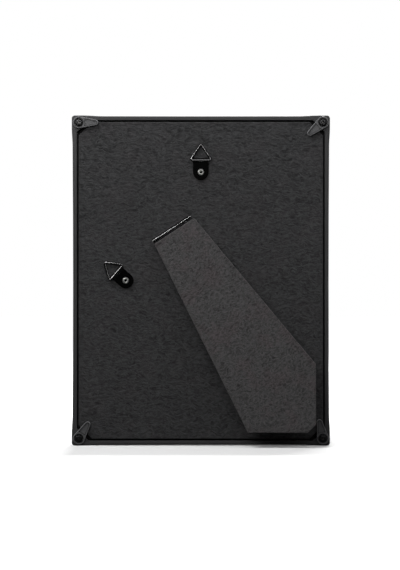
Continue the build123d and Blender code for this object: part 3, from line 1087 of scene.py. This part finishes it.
@dataclass
class TurnButtons:
    """Four moulded turn-buttons, each on a pan head screw with a cross recess."""

    blank: Blank
    inset: float = 6.4 * MM
    shank_radius: float = 1.3 * MM
    grip: float = 7.5 * MM
    seat: float = 0.8 * MM
    head_radius: float = 3.1 * MM
    head_height: float = 1.7 * MM
    head_round: float = 1.0 * MM
    head_sides: int = 48
    point_length: float = 1.2 * MM
    point_share: float = 0.3
    recess_span: float = 3.8 * MM
    recess_width: float = 0.9 * MM
    recess_depth: float = 1.2 * MM
    recess_taper: float = 0.45
    recess_narrowing: float = 0.8
    # The buttons' painted shade also counts the screws and the frame round them, which darkens the
    # ring round each screw and the buttons' outlines.
    plastic: MouldedPlastic = MouldedPlastic(
        "button_plastic",
        (0.092, 0.092, 0.095),
        roughness=0.34,
        texture_size=0.3,
        painted_edge_highlight=1.0,
        painted_shade_reach=1.3,
        painted_shade_alone=False,
    )
    blacking: PlatedSteel = PlatedSteel(
        "blacked_steel", (0.1, 0.1, 0.103), (0.035, 0.035, 0.034), roughness=0.25
    )
    bared: PlatedSteel = PlatedSteel(
        "bared_steel", (0.16, 0.155, 0.15), (0.05, 0.05, 0.05), roughness=0.3
    )

    def build(self) -> None:
        """Dresses the buttons, and makes a screw for each."""
        plastic = self.plastic.material()
        materials = (self.blacking.material(), self.bared.material())
        screw = self.screw()
        for corner in Corner:
            dress_node("turn_button_" + corner.label, plastic)
            self.place_screw(screw, corner, materials)
        bpy.data.objects.remove(screw)

    def screw(self) -> bpy.types.Object:
        """Models one screw upright on the origin: shank, pan head and cross recess.

        Returns:
            The screw, whose recess has a material of its own.
        """
        deselect_all()
        top = self.seat + self.head_height
        bpy.ops.mesh.primitive_cylinder_add(
            vertices=self.head_sides,
            radius=self.head_radius,
            depth=self.head_height,
            location=(0, 0, self.seat + self.head_height / 2),
        )
        piece = bpy.context.object
        piece.name = "screw"
        settle(piece, Matrix.Identity(4))
        with editing(piece):
            rim = top - MERGE_DISTANCE
            pick_edges(piece, lambda edge: all(v.co.z > rim for v in edge.verts))
            bpy.ops.mesh.bevel(offset=self.head_round, segments=7, profile=0.5, affect="EDGES")
            pick_faces(piece, lambda face: face.normal.z < -0.9)
            bpy.ops.mesh.inset(thickness=self.head_radius - self.shank_radius)
            straight = self.grip + self.seat - self.point_length
            for drop, share in ((straight, 1.0), (self.point_length, self.point_share)):
                bpy.ops.mesh.extrude_region_move(TRANSFORM_OT_translate={"value": (0, 0, -drop)})
                bpy.ops.transform.resize(value=(share, share, 1), center_override=(0, 0, 0))
        cutter = self.recess_cutter(top)
        settings = {"operation": "DIFFERENCE", "object": cutter, "solver": "EXACT"}
        apply_modifier(piece, "BOOLEAN", {**settings, "use_self": True})
        bpy.data.objects.remove(cutter)
        close_shell(piece)
        return piece

    def recess_cutter(self, top: float) -> bpy.types.Object:
        """Models the cross that cuts the recess: two bars that narrow downwards.

        Args:
            top: Height of the head's top.

        Returns:
            The cutter.
        """
        deselect_all()
        bpy.ops.mesh.primitive_cube_add(size=1)
        cutter = bpy.context.object
        lowest = top - self.recess_depth
        raised = self.recess_depth * 0.5
        size = Matrix.Diagonal((self.recess_span, self.recess_width, self.recess_depth, 1))
        settle(cutter, Matrix.Translation((0, 0, lowest + self.recess_depth / 2)) @ size)
        with editing(cutter):
            pick_faces(cutter, lambda face: face.normal.z < -0.9)
            narrow = (self.recess_taper, self.recess_narrowing, 1)
            bpy.ops.transform.resize(value=narrow, center_override=(0, 0, lowest))
            pick_faces(cutter, lambda face: face.normal.z > 0.9)
            bpy.ops.mesh.extrude_region_move(TRANSFORM_OT_translate={"value": (0, 0, raised)})
            bpy.ops.mesh.select_all(action="SELECT")
            bpy.ops.mesh.duplicate()
            bpy.ops.transform.rotate(
                value=math.radians(90), orient_axis="Z", center_override=(0, 0, 0)
            )
        return cutter

    def place_screw(
        self,
        screw: bpy.types.Object,
        corner: Corner,
        materials: tuple[bpy.types.Material, bpy.types.Material],
    ) -> None:
        """Copies the screw into one corner.

        Args:
            screw: Screw on the origin.
            corner: Where the copy goes.
            materials: Finish of the screw and of its recess.
        """
        side, end, turn = corner.value
        copy = bpy.data.objects.new("corner_screw_" + corner.label, screw.data.copy())
        bpy.context.scene.collection.objects.link(copy)
        dress(copy, *materials)
        for face in copy.data.polygons:
            middle = face.center
            inside = math.hypot(middle.x, middle.y) < self.recess_span / 2
            in_recess = inside and face.normal.z < 0.9 and middle.z > self.seat
            bottom = inside and self.seat < middle.z < self.seat + self.head_height * 0.7
            face.material_index = 1 if in_recess or bottom else 0
        x = side * (self.blank.width / 2 - self.inset)
        y = end * (self.blank.height / 2 - self.inset)
        place = Matrix.Translation((x, y, 0)) @ Matrix.Rotation(math.radians(turn), 4, "Z")
        settle(copy, self.blank.standing() @ place)
        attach(copy, "frame")
        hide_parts("corner_screws")
        report(copy)


@dataclass
class Hangers:
    """Two strap hangers: folded straps, triangle rings and tubular rivets."""

    blacking: BlackPlating = BlackPlating("hanger_black_nickel", level=0.2)
    wire: BlackPlating = BlackPlating("ring_black_nickel", level=0.3)
    plating: PlatedSteel = PlatedSteel(
        "rivet_nickel", (0.9, 0.89, 0.87), (0.6, 0.58, 0.55), roughness=0.27
    )

    def build(self) -> None:
        """Dresses straps, rings and rivets."""
        blacking = self.blacking.material()
        wire = self.wire.material()
        for place in ("top", "side"):
            dress_node("hanger_strap_" + place, blacking)
            dress_node("hanger_ring_" + place, wire)
        dress_node("hanger_rivets", self.plating.material())


# Studio, whose lamps face one of two points on the frame

UPPER_BACK = (0.0, 0.0, 0.16)
MIDDLE_BACK = (0.0, 0.0, 0.14)


@dataclass(frozen=True)
class SoftBox:
    """Rectangular lamp with even light."""

    name: str
    place: Triple
    aim: Triple
    size: tuple[float, float]
    power: float
    mirrored: bool = True

    def build(self) -> None:
        """Hangs the lamp and turns it to its aim; unless mirrored, it is hidden from glossy rays.
        """
        data = bpy.data.lights.new(self.name, "AREA")
        data.shape = "RECTANGLE"
        data.size, data.size_y = self.size
        data.energy = self.power
        lamp = bpy.data.objects.new(self.name, data)
        bpy.context.scene.collection.objects.link(lamp)
        lamp.location = self.place
        lamp.visible_glossy = self.mirrored
        direction = Vector(self.aim) - Vector(self.place)
        lamp.rotation_euler = direction.to_track_quat("-Z", "Y").to_euler()


@dataclass
class Studio:
    """Pale floor, white backdrop, soft lamps and the camera straight behind the frame."""

    distance: float = 1.5
    picture_height: float = PHOTO_ROWS * ROW_HEIGHT
    middle: tuple[float, float] = (-0.75 * MM, 140.75 * MM)
    floor_size: float = 12.0
    floor_colour: float = 0.15
    floor_white: float = 0.82
    floor_mirrored: float = 0.02
    floor_glow: float = 0.05
    shaded_sides: tuple[float, float] = (0.1, 0.15)
    shaded_depth: tuple[float, float] = (0.17, 0.24)
    shade_middle: float = 0.11
    surroundings: float = 0.02
    dark_side: float = 0.006
    backdrop: tuple[float, float] = (0.06, 0.4)
    lamps: tuple[SoftBox, ...] = (
        SoftBox("left_key", (-0.3, -0.21, 0.72), UPPER_BACK, (0.4, 0.2), 3.7, mirrored=False),
        SoftBox("right_key", (0.3, -0.21, 0.72), UPPER_BACK, (0.4, 0.2), 1.4, mirrored=False),
        SoftBox("strip_lamp", (-0.12, -1.0, 0.55), MIDDLE_BACK, (2.0, 0.07), 1.7),
        SoftBox("camera_box", (0.03, -1.0, 0.57), MIDDLE_BACK, (0.25, 0.2), 0.4),
        SoftBox("left_box", (-0.42, -1.0, 0.54), MIDDLE_BACK, (0.55, 0.07), 1.75),
        SoftBox("left_fill", (-0.7, -0.35, 0.8), MIDDLE_BACK, (0.5, 0.4), 0.4, mirrored=False),
        SoftBox("right_fill", (0.75, -0.65, 0.4), MIDDLE_BACK, (0.25, 0.4), 0.2, mirrored=False),
        SoftBox("front_lamp", (0.5, 1.4, 1.0), MIDDLE_BACK, (0.9, 0.9), 30.0),
    )

    def build(self) -> None:
        """Sets up floor, surroundings, lamps, camera and the plain view transform."""
        self.lay_floor()
        self.light_surroundings()
        for lamp in self.lamps:
            lamp.build()
        self.set_camera()
        bpy.context.scene.view_settings.view_transform = "Standard"
        log.info("studio: %d lamps", len(self.lamps))

    def white_share(self, shader: Shader, behind: Value, glossy: Value) -> Value:
        """Share of a ray that sees the white background.

        Args:
            shader: Tree of the floor or of the world.
            behind: 1 behind the frame, where the backdrop hangs, and 0 on the camera's side.
            glossy: Whether the ray comes off a glossy surface.

        Returns:
            1 for the camera and through glass; in metal and gloss, 1 behind the frame alone.
        """
        rays = shader.add("ShaderNodeLightPath", {}, {})
        camera = Value(shader, rays.outputs["Is Camera Ray"])
        glass = Value(shader, rays.outputs["Is Transmission Ray"])
        return camera.over(glass).over(glossy * behind)

    @staticmethod
    def split(shader: Shader, output: str) -> tuple[Value, Value]:
        """Takes a coordinate apart, and leaves out its height.

        Args:
            shader: Tree of the floor or of the world.
            output: Name of the coordinate.

        Returns:
            Its sideways and its backward part.
        """
        node = shader.add("ShaderNodeTexCoord", {}, {})
        parts = shader.add("ShaderNodeSeparateXYZ", {}, {0: node.outputs[output]})
        return Value(shader, parts.outputs["X"]), Value(shader, parts.outputs["Y"])

    def lay_floor(self) -> None:
        """Lays the floor, which glows white beyond a region round the frame and keeps the frame's
        shadow within it.
        """
        deselect_all()
        bpy.ops.mesh.primitive_plane_add(size=self.floor_size, location=(0, 0, 0))
        floor = bpy.context.object
        floor.name = "floor"
        material, shader = new_material("pale_floor")
        across, back = self.split(shader, "Object")
        rays = shader.add("ShaderNodeLightPath", {}, {})
        glossy = Value(shader, rays.outputs["Is Glossy Ray"])
        white = self.white_share(shader, back.rise(*self.backdrop), glossy)
        colour = (1.0 - glossy) * self.floor_colour + self.floor_mirrored
        sides = abs(across).rise(*self.shaded_sides)
        depth = abs(back - self.shade_middle).rise(*self.shaded_depth)
        glow = sides.over(depth).over(self.floor_glow)
        plain = shader.add("ShaderNodeBsdfDiffuse", {}, {"Color": colour})
        bright = shader.add("ShaderNodeBsdfDiffuse", {}, {"Color": grey(self.floor_white)})
        light = shader.add("ShaderNodeEmission", {}, {"Color": grey(1.0), "Strength": glow})
        lit = shader.add("ShaderNodeAddShader", {}, {0: bright.outputs[0], 1: light.outputs[0]})
        mixed = shader.add(
            "ShaderNodeMixShader", {}, {0: white, 1: plain.outputs[0], 2: lit.outputs[0]}
        )
        shader.add("ShaderNodeOutputMaterial", {}, {"Surface": mixed.outputs[0]})
        dress(floor, material)

    def light_surroundings(self) -> None:
        """Hangs a white backdrop behind the frame, and keeps the camera's side dim."""
        world = bpy.data.worlds.new("studio_walls")
        world.use_nodes = True
        bpy.context.scene.world = world
        shader = Shader(world.node_tree)
        _, back = self.split(shader, "Generated")
        rays = shader.add("ShaderNodeLightPath", {}, {})
        glossy = Value(shader, rays.outputs["Is Glossy Ray"])
        white = self.white_share(shader, back.rise(*self.backdrop), glossy)
        dim = (1.0 - glossy) * self.surroundings + self.dark_side
        walls = shader.add(
            "ShaderNodeBackground", {}, {"Color": grey(1.0), "Strength": white.over(dim)}
        )
        shader.add("ShaderNodeOutputWorld", {}, {"Surface": walls.outputs[0]})

    def set_camera(self) -> None:
        """Puts the camera straight behind the frame, as far off as the photographer was."""
        data = bpy.data.cameras.new("camera")
        data.sensor_width = 36.0
        data.lens = data.sensor_width * self.distance / self.picture_height
        camera = bpy.data.objects.new("camera", data)
        bpy.context.scene.collection.objects.link(camera)
        low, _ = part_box("moulding")
        camera.location = (self.middle[0], low.y - self.distance, self.middle[1])
        camera.rotation_euler = (math.radians(90), 0, 0)
        bpy.context.scene.camera = camera


def main() -> None:
    """Builds the sub-assemblies in order, then the studio."""
    logging.basicConfig(level=logging.INFO, format="%(name)s: %(message)s")
    blank = Blank()
    for assembly in (
        MouldedFrame(),
        Glazing(),
        BackPanel(),
        Strut(blank),
        StrutHinge(),
        TurnButtons(blank),
        Hangers(),
        Studio(),
    ):
        assembly.build()


if __name__ == "__main__":
    main()
